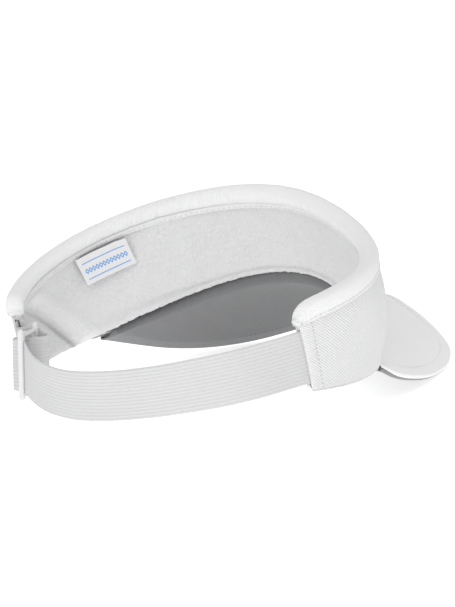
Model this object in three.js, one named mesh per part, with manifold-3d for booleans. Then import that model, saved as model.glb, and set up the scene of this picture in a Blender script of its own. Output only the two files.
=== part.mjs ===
// Adjustable sun visor: a stiffened twill crown band with a towelling sweatband, a curved brim,
// a tape-bound top edge and an elastic back strap threaded through a three-bar slider.
// Millimetres. +X is the wearer's right, +Y is forward (the brim's side), +Z is up.
// The pieces are set out from a point under the middle of the head opening, and the finished visor
// is then moved so that its origin lies under the middle of its bounding box, where it stands.
import * as THREE from 'three';
import { mergeVertices } from 'three/addons/utils/BufferGeometryUtils.js';
import Module from 'manifold-3d';

// ---------------------------------------------------------------- driving dimensions
const HEAD_RADIUS = 83.3;        // mean plan radius of the crown's lower edge
const REAR_SWELL = 8.9;          // extra radius at the back, less at the front
const OVAL = 1.8;                // widens the sides against the front and back
const EGG = -4.3;                // rounds the back corners and narrows the front
const SIDE_LEAN = 1.7;           // how far the relaxed band sits to the right
const SKEW = -1.1;               // relaxed band's slight twist in plan
const OPENING_CENTRE = [-4.3, -1.6]; // plan centre that the radii are measured from
const STANDING_PLACE = [2.5, -33.2, -0.7]; // moves the set-out point to the visor's standing origin

const BAND_END_TOP = [-35.6, 217.5];    // plan angles of the band's ends at the top edge, degrees
const BAND_END_BOTTOM = [-28.7, 210.6]; // and at the bottom edge, so that the ends slant
const END_CORNER = 7;            // radius of the band's rounded top corners
const BAND_LENGTH = 358;         // length of the band along its middle
const BAND_END_HEIGHT = 38;      // height of the band at its ends
const SIDE_BULGE = 4.9;          // outward swell of the band half way up
const REAR_TWIST = 4.7;          // the relaxed band's left end droops, its right end lifts

const LEVELS = [0, 0.06, 0.3, 0.54, 0.78, 0.94, 1]; // shares of the band's height where layers bend
const SHELL = [0, 0.6];          // layers, as offsets from the shell's inner face, inside negative
const INTERLINING = [-0.85, -0.4];
const PADDING = [-2.3, -1.25];
const LINING = [-4.1, -2.7];
const ANCHOR_DEPTH = -1.6;       // the strap's sewn ends lie between shell and lining

const BINDING_GAP = 0.4;
const BINDING_TAPE = 0.7;        // thickness of the folded binding tape
const BINDING_OUTER_WIDTH = 8.0;
const BINDING_INNER_WIDTH = 10.5;

const BRIM_CENTRE = -2.5;        // the brim's plane of symmetry
const BRIM_HALF_OUTLINE = [      // its free edge from the seam to the front, x measured from that plane
  [79.5, 32, 13.8], [74, 65, 6], [67.5, 92, 2.5], [59.5, 118, 2.1], [49, 138, 5], [35, 150, 10.4],
  [18, 156, 18.4],
];
const BRIM_FRONT = [0, 158, 24.5];
const BRIM_SHARES = [0.03, 0.25, 0.5, 0.75, 0.965]; // shares of the way across where the brim bends
const BRIM_DROP = 2.1;           // the brim is sewn on just under the band's lower edge
const BRIM_BOARD = 0.8;          // half thickness of the stiff board
const BRIM_CLOTH = [1.1, 1.7];   // cover cloth, as distance from the board's middle
const BRIM_SEAM_ENDS = [11, 169];   // plan angles where the brim's seam starts and ends

const STRAP_WIDTH = 25;
const STRAP_THICKNESS = 1.3;

const SLIDER_MIDDLE = [-68.95, -62.85]; // plan centre of the slider
const SLIDER_ALONG = new THREE.Vector2(-4.7, 17.9).normalize(); // from its near bar to its far bar
const SLIDER_BOTTOM = 5.2;
const SLIDER_HEIGHT = 34.3;
const SLIDER_LENGTH = 21.3;
const SLIDER_BAR = 2.8;
const SLIDER_PLATE = 2.4;
const SLIDER_BAR_RISE = 2.5;     // the middle bar stands proud of the other two

const LABEL = { from: 181.5, to: 162, width: 28, height: 14.6, thickness: 0.4, down: 10.9 };
const THREAD = 0.45;             // width of a row of stitching thread
const THREAD_HEIGHT = 0.3;

// ---------------------------------------------------------------- materials
const cloth = (color, roughness = 0.95) => new THREE.MeshStandardMaterial({ color, roughness, metalness: 0 });
const WHITE_TWILL = 0xe9e9ea;
const WHITE_TAPE = 0xf1f1f2;
const WHITE_TOWELLING = 0xe2e2e3;
const GREY_UNDERBRIM = 0x8b8c8e;
const WHITE_PLASTIC = 0xf0f1f2;

// ---------------------------------------------------------------- solids
const add = (p, q, s = 1) => p.clone().addScaledVector(q, s);
const radians = THREE.MathUtils.degToRad;
const clamp = THREE.MathUtils.clamp;
const lerp = THREE.MathUtils.lerp;

function solidGeometry(positions) {
  const geometry = new THREE.BufferGeometry();
  geometry.setAttribute('position', new THREE.Float32BufferAttribute(positions, 3));
  geometry.computeVertexNormals();
  return geometry;
}

// A closed band of cloth or tape: each station holds two rows of points, the outside row and the
// inside row, and the band runs through the stations with a wall along both edges and both ends.
function bandGeometry(stations) {
  const out = [];
  const quad = (a, b, c, d) => {
    for (const p of [a, b, c, a, c, d]) out.push(p.x, p.y, p.z);
  };
  const last = stations.length - 1;
  for (let i = 0; i < last; i++) {
    const [p, q] = [stations[i], stations[i + 1]];
    const rows = p.outside.length - 1;
    for (let j = 0; j < rows; j++) {
      quad(p.outside[j], q.outside[j], q.outside[j + 1], p.outside[j + 1]);
      quad(p.inside[j], p.inside[j + 1], q.inside[j + 1], q.inside[j]);
    }
    quad(p.inside[0], q.inside[0], q.outside[0], p.outside[0]);
    quad(p.outside[rows], q.outside[rows], q.inside[rows], p.inside[rows]);
  }
  for (const [s, flip] of [[stations[0], false], [stations[last], true]]) {
    for (let j = 0; j < s.outside.length - 1; j++) {
      const corners = [s.outside[j], s.outside[j + 1], s.inside[j + 1], s.inside[j]];
      quad(...(flip ? corners.reverse() : corners));
    }
  }
  return outwardGeometry(out);
}

// Turns every face outwards, whichever way round the stations ran.
function outwardGeometry(positions) {
  let volume = 0;
  const at = (i) => new THREE.Vector3().fromArray(positions, i);
  for (let i = 0; i < positions.length; i += 9) {
    volume += at(i).dot(at(i + 3).cross(at(i + 6)));
  }
  if (volume < 0) {
    for (let i = 0; i < positions.length; i += 9) {
      for (let k = 0; k < 3; k++) {
        [positions[i + 3 + k], positions[i + 6 + k]] = [positions[i + 6 + k], positions[i + 3 + k]];
      }
    }
  }
  return solidGeometry(positions);
}

function part(name, geometry, material) {
  const mesh = new THREE.Mesh(geometry, material);
  mesh.name = name;
  return mesh;
}

// ---------------------------------------------------------------- the crown band
function bandRadius(a) {
  return HEAD_RADIUS - REAR_SWELL * Math.sin(a) + OVAL * Math.cos(2 * a) + EGG * Math.sin(3 * a)
    + SIDE_LEAN * Math.cos(a) + SKEW * Math.sin(2 * a);
}

function twisted(p) {
  p.z += REAR_TWIST * clamp((30 - p.y) / 80, 0, 1) * p.x / 70;
  return p;
}

function planPoint(a, outward, z) {
  const r = bandRadius(a) + outward;
  const [x, y] = OPENING_CENTRE;
  return new THREE.Vector3(x + r * Math.cos(a), y + r * Math.sin(a), z);
}

// Heights and inset follow the front-to-back position s, 1 at the front and -1 at the back:
// the relaxed visor sits tipped back, with its front high and its ends low.
function bandBase(a, k) {
  const s = Math.sin(a);
  const low = twisted(planPoint(a, 0, 20.4 + 10 * s + 11.4 * s * s + 7.4 * s ** 3));
  const inset = 4.9 + 17.1 * s - 4.4 * Math.cos(2 * a);
  const high = twisted(planPoint(a, -inset, 73.7 + 29.2 * s - 5.2 * s * s - 1.6 * s ** 3));
  const p = low.lerp(high, k);
  const swell = SIDE_BULGE * 4 * k * (1 - k) * THREE.MathUtils.smoothstep(s, -0.42, 0.1);
  return p.add(new THREE.Vector3(Math.cos(a) * swell, Math.sin(a) * swell, 0));
}

// u runs from the right end (0) round the front to the left end (1), k from the bottom edge (0)
// to the top edge (1), and n is the distance outwards from the middle surface.
function bandAngle(u, k) {
  return radians(lerp(lerp(BAND_END_BOTTOM[0], BAND_END_TOP[0], k), lerp(BAND_END_BOTTOM[1], BAND_END_TOP[1], k), u));
}

function bandNormal(a, k) {
  const step = 0.01;
  const along = bandBase(a + step, k).sub(bandBase(a - step, k));
  const up = bandBase(a, k + step).sub(bandBase(a, k - step));
  return along.cross(up).normalize();
}

function bandPoint(u, k, n) {
  const a = bandAngle(u, k);
  return add(bandBase(a, k), bandNormal(a, k), n);
}

// Height left under the rounded top corners, as a share of the band's height.
function topEdge(u) {
  const fromEnd = Math.min(u, 1 - u) * BAND_LENGTH;
  if (fromEnd >= END_CORNER) return 1;
  const drop = END_CORNER - Math.sqrt(END_CORNER ** 2 - (END_CORNER - fromEnd) ** 2);
  return 1 - drop / BAND_END_HEIGHT;
}

function stationsAlong(from, to) {
  const corner = END_CORNER / BAND_LENGTH;
  const list = [0, 0.15, 0.5].map((f) => f * corner);
  const runs = 38;
  for (let i = 0; i <= runs; i++) list.push(lerp(corner, 1 - corner, i / runs));
  list.push(...[0.5, 0.15, 0].map((f) => 1 - f * corner));
  return list.filter((u) => u >= from - 1e-9 && u <= to + 1e-9);
}

function bandLayer([inner, outer], { from = 0, to = 1, bottom = 0, top = 1 } = {}) {
  return bandGeometry(stationsAlong(from, to).map((u) => {
    const levels = LEVELS.filter((k) => k >= bottom && k <= top).map((k) => k * topEdge(u));
    return {
      outside: levels.map((k) => bandPoint(u, k, outer)),
      inside: levels.map((k) => bandPoint(u, k, inner)),
    };
  }));
}

// A strip that follows the band's top edge, its section given as [n, distance above the edge].
function edgeStrip(outsidePath, insidePath, { from = 0, to = 1 } = {}) {
  const place = (u) => {
    const k = topEdge(u);
    const a = bandAngle(u, k);
    const top = bandBase(a, k);
    const down = bandBase(a, k - 0.3).sub(top);
    const normal = bandNormal(a, k);
    return ([n, above]) => {
      const share = above < 0 ? -above / down.length() * 0.3 : 0;
      const p = above < 0 ? bandBase(bandAngle(u, k - share), k - share) : add(top, down.clone().normalize(), -above);
      return add(p, above < 0 ? bandNormal(a, k - share) : normal, n);
    };
  };
  return bandGeometry(stationsAlong(from, to).map((u) => {
    const put = place(u);
    return { outside: outsidePath.map(put), inside: insidePath.map(put) };
  }));
}

function bindingGeometry() {
  const o = SHELL[1] + BINDING_GAP;
  const i = LINING[0] - BINDING_GAP;
  const g = BINDING_GAP + 0.1;
  const t = BINDING_TAPE;
  const inside = [
    [o, -BINDING_OUTER_WIDTH], [o, -5], [o, 0], [o - 0.3, g], [i + 0.3, g], [i, 0], [i, -4.5],
    [i, -BINDING_INNER_WIDTH],
  ];
  const outside = [
    [o + t, -BINDING_OUTER_WIDTH], [o + t + 0.4, -5], [o + t, 0.4], [o - 0.6, g + t + 0.5],
    [i + 0.6, g + t + 0.5], [i - t, 0.4], [i - t - 0.6, -4.5], [i - t, -BINDING_INNER_WIDTH],
  ];
  return edgeStrip(outside, inside);
}

function threadAlongEdge(n, above, out) {
  const side = out ? THREAD_HEIGHT : -THREAD_HEIGHT;
  return edgeStrip([[n + side, above - THREAD], [n + side, above]], [[n, above - THREAD], [n, above]],
    { from: 0.03, to: 0.97 });
}

// ---------------------------------------------------------------- the brim
function brimCorner(end) {
  const a = radians(BRIM_SEAM_ENDS[end]);
  return add(bandBase(a, 0), bandNormal(a, 0), 2.5).add(new THREE.Vector3(0, 0, -BRIM_DROP));
}

function brimEdgePoints() {
  const side = (sign) => ([x, y, z]) => new THREE.Vector3(BRIM_CENTRE + sign * x, y, z);
  const right = BRIM_HALF_OUTLINE.map(side(1));
  const left = BRIM_HALF_OUTLINE.map(side(-1)).reverse();
  return [brimCorner(0), ...right, side(1)(BRIM_FRONT), ...left, brimCorner(1)];
}

const brimEdge = new THREE.CatmullRomCurve3(brimEdgePoints(), false, 'centripetal');

// v runs from the seam's right end (0) to its left end (1), s from the seam (0) to the free edge (1).
function brimBase(v, s) {
  const a = radians(lerp(BRIM_SEAM_ENDS[0], BRIM_SEAM_ENDS[1], clamp(v, 0, 1)));
  const seam = add(bandBase(a, 0), bandNormal(a, 0), -3.5);
  seam.z -= BRIM_DROP;
  return seam.lerp(brimEdge.getPoint(clamp(v, 0, 1)), s);
}

function brimPoint(v, s, n) {
  const step = 0.01;
  const across = brimBase(v + step, s).sub(brimBase(v - step, s));
  const forward = brimBase(v, s + step).sub(brimBase(v, s - step));
  return add(brimBase(v, s), forward.cross(across).normalize(), n);
}

function brimLayer([low, high], { from = 0, to = 1, near = 0, far = 1 } = {}) {
  const across = [];
  for (let i = 0; i <= 30; i++) across.push(lerp(0.02, 0.98, i / 30));
  const stations = [0, ...across, 1].filter((v) => v >= from - 1e-9 && v <= to + 1e-9);
  const shares = BRIM_SHARES.filter((s) => s > near && s < far);
  return bandGeometry(stations.map((v) => {
    const path = [near, ...shares, far];
    return {
      outside: path.map((s) => brimPoint(v, s, high)),
      inside: path.map((s) => brimPoint(v, s, low)),
    };
  }));
}

// ---------------------------------------------------------------- the slider
// Places in the slider's own plan frame: along it from its near bar to its far bar, and outwards.
const SLIDER_OUT = new THREE.Vector2(-SLIDER_ALONG.y, SLIDER_ALONG.x);

function besideSlider(along, out, z) {
  const [x, y] = SLIDER_MIDDLE;
  return new THREE.Vector3(
    x + along * SLIDER_ALONG.x + out * SLIDER_OUT.x,
    y + along * SLIDER_ALONG.y + out * SLIDER_OUT.y,
    z,
  );
}

const wasm = await Module();
wasm.setup();

function toManifold(geometry) {
  const bare = geometry.clone();
  bare.deleteAttribute('normal');
  bare.deleteAttribute('uv');
  const merged = mergeVertices(bare, 1e-4);
  return new wasm.Manifold(new wasm.Mesh({
    numProp: 3,
    vertProperties: new Float32Array(merged.attributes.position.array),
    triVerts: new Uint32Array(merged.index.array),
  }));
}

function fromManifold(solid) {
  const { vertProperties, triVerts } = solid.getMesh();
  const geometry = new THREE.BufferGeometry();
  geometry.setAttribute('position', new THREE.BufferAttribute(new Float32Array(vertProperties), 3));
  geometry.setIndex(new THREE.BufferAttribute(new Uint32Array(triVerts), 1));
  return geometry.toNonIndexed();
}

function roundedOutline(shape, w, h, r) {
  shape.moveTo(-w / 2 + r, -h / 2);
  shape.lineTo(w / 2 - r, -h / 2);
  shape.absarc(w / 2 - r, -h / 2 + r, r, -Math.PI / 2, 0);
  shape.lineTo(w / 2, h / 2 - r);
  shape.absarc(w / 2 - r, h / 2 - r, r, 0, Math.PI / 2);
  shape.lineTo(-w / 2 + r, h / 2);
  shape.absarc(-w / 2 + r, h / 2 - r, r, Math.PI / 2, Math.PI);
  shape.lineTo(-w / 2, -h / 2 + r);
  shape.absarc(-w / 2 + r, -h / 2 + r, r, Math.PI, 1.5 * Math.PI);
  return shape;
}

function bevelledPlate(shape, thickness, bevel) {
  const geometry = new THREE.ExtrudeGeometry(shape, {
    depth: thickness - 2 * bevel, bevelEnabled: true, bevelThickness: bevel, bevelSize: bevel,
    bevelOffset: -bevel, bevelSegments: 2, curveSegments: 3,
  });
  return geometry.translate(0, 0, -thickness / 2 + bevel);
}

// A flat rounded frame, with a third bar across its middle that is stepped outwards.
function sliderGeometry() {
  const frame = roundedOutline(new THREE.Shape(), SLIDER_LENGTH, SLIDER_HEIGHT, 2.4);
  frame.holes.push(roundedOutline(new THREE.Path(),
    SLIDER_LENGTH - 2 * SLIDER_BAR, SLIDER_HEIGHT - 2 * SLIDER_BAR, 0.8));
  const bar = roundedOutline(new THREE.Shape(), SLIDER_BAR, SLIDER_HEIGHT - 1, 1);
  const riser = roundedOutline(new THREE.Shape(), SLIDER_BAR, SLIDER_BAR - 0.6, 0.8);
  let solid = toManifold(bevelledPlate(frame, SLIDER_PLATE, 0.7));
  solid = solid.add(toManifold(bevelledPlate(bar, SLIDER_PLATE, 0.7).translate(0, 0, SLIDER_BAR_RISE)));
  for (const end of [-1, 1]) {
    const foot = bevelledPlate(riser, SLIDER_PLATE + SLIDER_BAR_RISE - 0.6, 0.3);
    solid = solid.add(toManifold(foot.translate(0, end * (SLIDER_HEIGHT - SLIDER_BAR) / 2, SLIDER_BAR_RISE / 2)));
  }
  const placed = new THREE.Matrix4().makeBasis(
    new THREE.Vector3(SLIDER_ALONG.x, SLIDER_ALONG.y, 0),
    new THREE.Vector3(0, 0, 1),
    new THREE.Vector3(-SLIDER_OUT.x, -SLIDER_OUT.y, 0),
  );
  // The frame is drawn with its outer face on +Z, so that face is turned to the outside of the head.
  const geometry = fromManifold(solid).rotateY(Math.PI);
  return geometry.applyMatrix4(placed);
}

// ---------------------------------------------------------------- the elastic strap
// Each place on the strap's route: its lower edge, then its upper edge.
function strapRoute() {
  const right = (u) => [bandPoint(u, 0.07, ANCHOR_DEPTH), bandPoint(u, 0.72, ANCHOR_DEPTH)];
  const left = (u) => [bandPoint(u, 0.05, ANCHOR_DEPTH), bandPoint(u, 0.72, ANCHOR_DEPTH)];
  const upright = (along, out, low) => [besideSlider(along, out, low), besideSlider(along, out, low + STRAP_WIDTH)];
  const low = SLIDER_BOTTOM + SLIDER_BAR + 0.25;
  const free = [
    [[66, -69.5, 21.9], [66.5, -70.6, 46.8]],
    [[52.9, -79.2, 18.3], [54.4, -81.7, 43.2]],
    [[23.7, -85.7, 11.5], [25.4, -91.2, 35.9]],
    [[-4.4, -82.8, 5.6], [-4.8, -89.6, 29.7]],
    [[-27, -79.2, 2.3], [-28.8, -85, 26.6]],
    [[-37.3, -77.6, 2], [-39.3, -82, 26.5]],
    [[-47.4, -75.4, 2.6], [-49.2, -78.4, 27.3]],
    [[-57, -72.6, 4.6], [-58.2, -74, 29.4]],
  ].map((pair) => pair.map((p) => new THREE.Vector3(...p)));
  return [
    right(0.035), right(0.016), right(0),
    ...free,
    upright(-9.3, -2.8, low), upright(-5.6, -0.6, low), upright(-3.8, 3, low), upright(-2.4, 6, low),
    upright(0, 7, low), upright(2.4, 6, low), upright(3.8, 3, low), upright(4.6, -0.6, low),
    upright(6, -4.6, low), upright(8.6, -6.3, low + 0.3), upright(11.4, -5, low + 0.8),
    upright(12.8, -1.6, low + 1.8), upright(13.2, 2.6, low + 3.4),
    [new THREE.Vector3(-79, -50.1, 12.6), new THREE.Vector3(-79, -59.2, 37)],
    left(1), left(0.984), left(0.965),
  ];
}

function strapGeometry() {
  const route = strapRoute();
  const edges = [0, 1].map((e) => new THREE.CatmullRomCurve3(route.map((pair) => pair[e]), false, 'centripetal'));
  const steps = (route.length - 1) * 2;
  const middle = (t) => edges[0].getPoint(t).lerp(edges[1].getPoint(t), 0.5);
  const stations = [];
  for (let i = 0; i <= steps; i++) {
    const t = i / steps;
    const [low, high] = edges.map((e) => e.getPoint(t));
    const along = middle(Math.min(t + 0.002, 1)).sub(middle(Math.max(t - 0.002, 0)));
    const side = along.cross(high.clone().sub(low)).normalize().multiplyScalar(STRAP_THICKNESS / 2);
    const half = [low, high];
    stations.push({
      outside: half.map((p) => add(p, side)),
      inside: half.map((p) => add(p, side, -1)),
    });
  }
  return bandGeometry(stations);
}

// ---------------------------------------------------------------- the woven label
// A flat tag whose top edge is caught under the binding, inside the left of the band.
function labelMesh() {
  const reach = (angle, down, clear = 0) => {
    const k = 1 - down / 56;
    return add(bandBase(radians(angle), k), bandNormal(radians(angle), k), LINING[0] - 1.9 - clear);
  };
  const tops = [reach(LABEL.from, LABEL.down), reach(LABEL.to, LABEL.down)];
  const foot = reach((LABEL.from + LABEL.to) / 2, LABEL.down + LABEL.height, 2);
  const middle = tops[0].clone().lerp(tops[1], 0.5);
  const along = tops[1].clone().sub(tops[0]).normalize();
  const down = foot.sub(middle).projectOnPlane(along).normalize();
  const facing = new THREE.Vector3().crossVectors(along, down);
  const mesh = part('woven_label', new THREE.BoxGeometry(LABEL.width, LABEL.height, LABEL.thickness),
    cloth(0xf2f2f0));
  mesh.position.copy(add(middle, down, LABEL.height / 2 + 0.5));
  mesh.setRotationFromMatrix(new THREE.Matrix4().makeBasis(along, down, facing));
  return mesh;
}

// ---------------------------------------------------------------- sewing threads
function endStitch(end) {
  const inset = 4.2 / BAND_LENGTH;
  const u = end > 0 ? 1 - inset : inset;
  const width = THREAD / BAND_LENGTH;
  const n = SHELL[1] + 0.3;
  const levels = [0.03, 0.2, 0.35, 0.5, 0.62];
  const row = (uu, nn) => levels.map((k) => bandPoint(uu, k, nn));
  return bandGeometry([
    { outside: row(u, n + THREAD_HEIGHT), inside: row(u, n) },
    { outside: row(u + width, n + THREAD_HEIGHT), inside: row(u + width, n) },
  ]);
}

// ---------------------------------------------------------------- assembly
const visor = new THREE.Group();

const crownBand = new THREE.Group();
crownBand.add(
  part('crown_shell', bandLayer(SHELL), cloth(WHITE_TWILL)),
  part('crown_interlining', bandLayer(INTERLINING, { from: 0.05, to: 0.95, bottom: 0.06, top: 0.94 }),
    cloth(0xf4f4f4)),
  part('sweatband_padding', bandLayer(PADDING, { from: 0.05, to: 0.95, bottom: 0.06, top: 0.78 }),
    cloth(0xf2f2ee)),
  part('sweatband_lining', bandLayer(LINING), cloth(WHITE_TOWELLING)),
  part('top_binding', bindingGeometry(), cloth(WHITE_TAPE)),
  part('binding_thread_outer', threadAlongEdge(SHELL[1] + BINDING_GAP + BINDING_TAPE + 0.5, -6.3, true),
    cloth(0xf6f6f6, 0.7)),
  part('binding_thread_inner', threadAlongEdge(LINING[0] - BINDING_GAP - BINDING_TAPE - 0.5, -8.8, false),
    cloth(0xf6f6f6, 0.7)),
  part('right_end_thread', endStitch(-1), cloth(0xf6f6f6, 0.7)),
  part('left_end_thread', endStitch(1), cloth(0xf6f6f6, 0.7)),
  labelMesh(),
);

const brim = new THREE.Group();
const brimBoard = { from: 0.02, to: 0.98, near: 0.03, far: 0.965 };
brim.add(
  part('brim_board', brimLayer([-BRIM_BOARD, BRIM_BOARD], brimBoard), cloth(0xf5f5f5, 0.5)),
  part('brim_top_cover', brimLayer(BRIM_CLOTH), cloth(WHITE_TWILL)),
  part('brim_under_cover', brimLayer([-BRIM_CLOTH[1], -BRIM_CLOTH[0]]), cloth(GREY_UNDERBRIM)),
  part('brim_edge_thread', brimLayer([BRIM_CLOTH[1] + 0.3, BRIM_CLOTH[1] + 0.3 + THREAD_HEIGHT],
    { from: 0.05, to: 0.95, near: 0.925, far: 0.931 }), cloth(0xf6f6f6, 0.7)),
);

const backStrap = new THREE.Group();
const slider = part('strap_slider', sliderGeometry(), cloth(WHITE_PLASTIC, 0.35));
slider.position.set(...SLIDER_MIDDLE, SLIDER_BOTTOM + SLIDER_HEIGHT / 2);
backStrap.add(part('elastic_strap', strapGeometry(), cloth(0xe6e6e7, 0.85)), slider);

visor.add(crownBand, brim, backStrap);
visor.position.set(...STANDING_PLACE);

export default visor;
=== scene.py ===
import bpy
import math
import numpy as np
from mathutils import Matrix, Vector, noise


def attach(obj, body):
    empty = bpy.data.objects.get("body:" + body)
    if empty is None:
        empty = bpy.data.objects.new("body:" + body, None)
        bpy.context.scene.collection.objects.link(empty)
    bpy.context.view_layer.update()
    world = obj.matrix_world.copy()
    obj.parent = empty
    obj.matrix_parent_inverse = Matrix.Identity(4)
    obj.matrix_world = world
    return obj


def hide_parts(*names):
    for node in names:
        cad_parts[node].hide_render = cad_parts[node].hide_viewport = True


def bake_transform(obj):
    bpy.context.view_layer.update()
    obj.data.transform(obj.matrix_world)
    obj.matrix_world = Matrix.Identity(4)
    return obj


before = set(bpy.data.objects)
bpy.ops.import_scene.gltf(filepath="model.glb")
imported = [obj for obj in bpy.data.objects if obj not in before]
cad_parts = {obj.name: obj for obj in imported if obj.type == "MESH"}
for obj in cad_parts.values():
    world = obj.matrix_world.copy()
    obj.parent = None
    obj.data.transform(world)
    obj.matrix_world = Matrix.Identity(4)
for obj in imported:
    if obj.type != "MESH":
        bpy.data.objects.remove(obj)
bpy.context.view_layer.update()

MM = 0.001
# Lengths are in millimetres, in the frame that the visor was set out in, and this moves it to its place.
STANDING_PLACE = np.array([2.5, -33.2, -0.7])
STITCH_PITCH = 2.7
BRIM_STITCH_IN = 10.0
STRAP_WIDTH = 25.0
STRAP_RIBS = 15
TAG_WIDTH = 28.0
TAG_HEIGHT = 15.6
# The slack fold near the lining's left end: where its line meets the lower edge, and its slant.
FOLD_FOOT = 314.6
FOLD_SLANT = 0.79
scene = bpy.context.scene


# ---- camera, floor and light
def place_camera():
    """The studio camera: behind the wearer's right shoulder, a little above, with a long lens."""
    azimuth, elevation, roll = math.radians(33.9), math.radians(10.6), math.radians(-0.5)
    distance = 1142
    level_right = Vector((math.cos(azimuth), math.sin(azimuth), 0))
    ahead = Vector((-math.sin(azimuth) * math.cos(elevation), math.cos(azimuth) * math.cos(elevation),
                    -math.sin(elevation)))
    level_up = level_right.cross(ahead)
    right = level_right * math.cos(roll) + level_up * math.sin(roll)
    up = level_up * math.cos(roll) - level_right * math.sin(roll)
    target = Vector((-12.2, 21.5, 41.9)) + Vector(STANDING_PLACE)
    data = bpy.data.cameras.new("camera")
    data.lens = 139.5
    data.sensor_width = 36
    data.clip_end = 50
    camera = bpy.data.objects.new("camera", data)
    place = Matrix((right, up, -ahead)).transposed().to_4x4()
    place.translation = (target - ahead * distance) * MM
    camera.matrix_world = place
    scene.collection.objects.link(camera)
    scene.camera = camera


place_camera()


def node(tree, kind, inputs=None, **settings):
    """A shader node. Each input is another node's output or a constant."""
    n = tree.nodes.new("ShaderNode" + kind)
    for key, value in settings.items():
        setattr(n, key, value)
    for key, value in (inputs or {}).items():
        if hasattr(value, "is_output"):
            tree.links.new(value, n.inputs[key])
        else:
            n.inputs[key].default_value = value
    return n


def new_material(name, roughness, **constants):
    """A Principled material. Sockets that are the same all over are set on the shader itself."""
    m = bpy.data.materials.new(name)
    m.use_nodes = True
    shader = m.node_tree.nodes["Principled BSDF"]
    shader.inputs["Roughness"].default_value = roughness
    for key, value in constants.items():
        shader.inputs[key.replace("_", " ")].default_value = value
    return m, m.node_tree, shader


def math_node(tree, op, a, b=0.0, c=0.0):
    return node(tree, "Math", {0: a, 1: b, 2: c}, operation=op).outputs[0]


def plus(tree, a, b):
    return math_node(tree, "ADD", a, b)


def times(tree, a, b):
    return math_node(tree, "MULTIPLY", a, b)


def gap(tree, a, b):
    """How far apart two values are."""
    return math_node(tree, "ABSOLUTE", math_node(tree, "SUBTRACT", a, b))


def below(tree, value, limit):
    """1 where the value is under the limit, 0 elsewhere."""
    return math_node(tree, "LESS_THAN", value, limit)


def ramp(tree, value, start, end, **settings):
    """From 0 at the start to 1 at the end, and flat past both."""
    return node(tree, "MapRange", {"Value": value, "From Min": start, "From Max": end}, **settings).outputs[0]


def uv_axes(tree):
    """The piece's own flat coordinates, in millimetres along and across the cloth."""
    uv = node(tree, "UVMap", uv_map="flat")
    split = node(tree, "SeparateXYZ", {0: uv.outputs[0]})
    return uv.outputs[0], split.outputs[0], split.outputs[1]


def place_stage():
    """A pale floor, an even white world and two soft lamps: behind and above the visor, and overhead."""
    mesh = bpy.data.meshes.new("floor")
    r = 12.0
    just_below = -0.0004
    mesh.from_pydata([(-r, -r, 0), (r, -r, 0), (r, r, 0), (-r, r, 0)], [], [(0, 1, 2, 3)])
    floor = bpy.data.objects.new("floor", mesh)
    floor.location.z = just_below
    scene.collection.objects.link(floor)
    m, _, shader = new_material("pale_floor", 0.9)
    shader.inputs["Base Color"].default_value = (0.9, 0.9, 0.9, 1)
    shader.inputs["Emission Color"].default_value = (1, 1, 1, 1)
    shader.inputs["Emission Strength"].default_value = 0.60
    mesh.materials.append(m)
    world = bpy.data.worlds.new("studio")
    world.use_nodes = True
    background = world.node_tree.nodes["Background"]
    background.inputs["Color"].default_value = (1, 1, 1, 1)
    background.inputs["Strength"].default_value = 0.54
    scene.world = world
    aim = Vector((0, -0.02, 0.04))
    for name, place, size, energy in (("key_light", (0.42, -1.46, 1.0), 1.2, 11.4),
                                      ("top_light", (0.5, 0.2, 1.6), 1.2, 5)):
        data = bpy.data.lights.new(name, "AREA")
        data.energy = energy
        data.size = size
        light = bpy.data.objects.new(name, data)
        light.location = place
        light.rotation_euler = (aim - Vector(place)).to_track_quat("-Z", "Y").to_euler()
        scene.collection.objects.link(light)
    scene.view_settings.view_transform = "Standard"


place_stage()


# ---- mesh helpers
def finish_piece(mesh, body, replaced, material, smooth=50):
    """The piece, named as its mesh, with its body, slot, material and the CAD nodes it stands for."""
    obj = bpy.data.objects.new(mesh.name, mesh)
    scene.collection.objects.link(obj)
    mesh.materials.append(material)
    mesh.polygons.foreach_set("use_smooth", [True] * len(mesh.polygons))
    mesh.set_sharp_from_angle(angle=math.radians(smooth))
    if body:
        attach(obj, body)
    if replaced:
        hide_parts(*replaced)
    return obj


def raw_mesh(name, points, faces, uv):
    """A mesh from millimetre points in the set-out frame, with flat coordinates in millimetres."""
    mesh = bpy.data.meshes.new(name)
    mesh.from_pydata(((np.asarray(points) + STANDING_PLACE) * MM).tolist(), [], faces)
    layer = mesh.uv_layers.new(name="flat")
    corner = np.zeros(len(mesh.loops), np.int32)
    mesh.loops.foreach_get("vertex_index", corner)
    layer.data.foreach_set("uv", np.asarray(uv, np.float32)[corner].ravel())
    return mesh


def outward(points, faces):
    """The faces, all turned over if they enclose a negative volume."""
    volume = 0.0
    for f in faces:
        for i in range(1, len(f) - 1):
            volume += np.dot(points[f[0]], np.cross(points[f[i]], points[f[i + 1]]))
    return faces if volume > 0 else [f[::-1] for f in faces]


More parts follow.
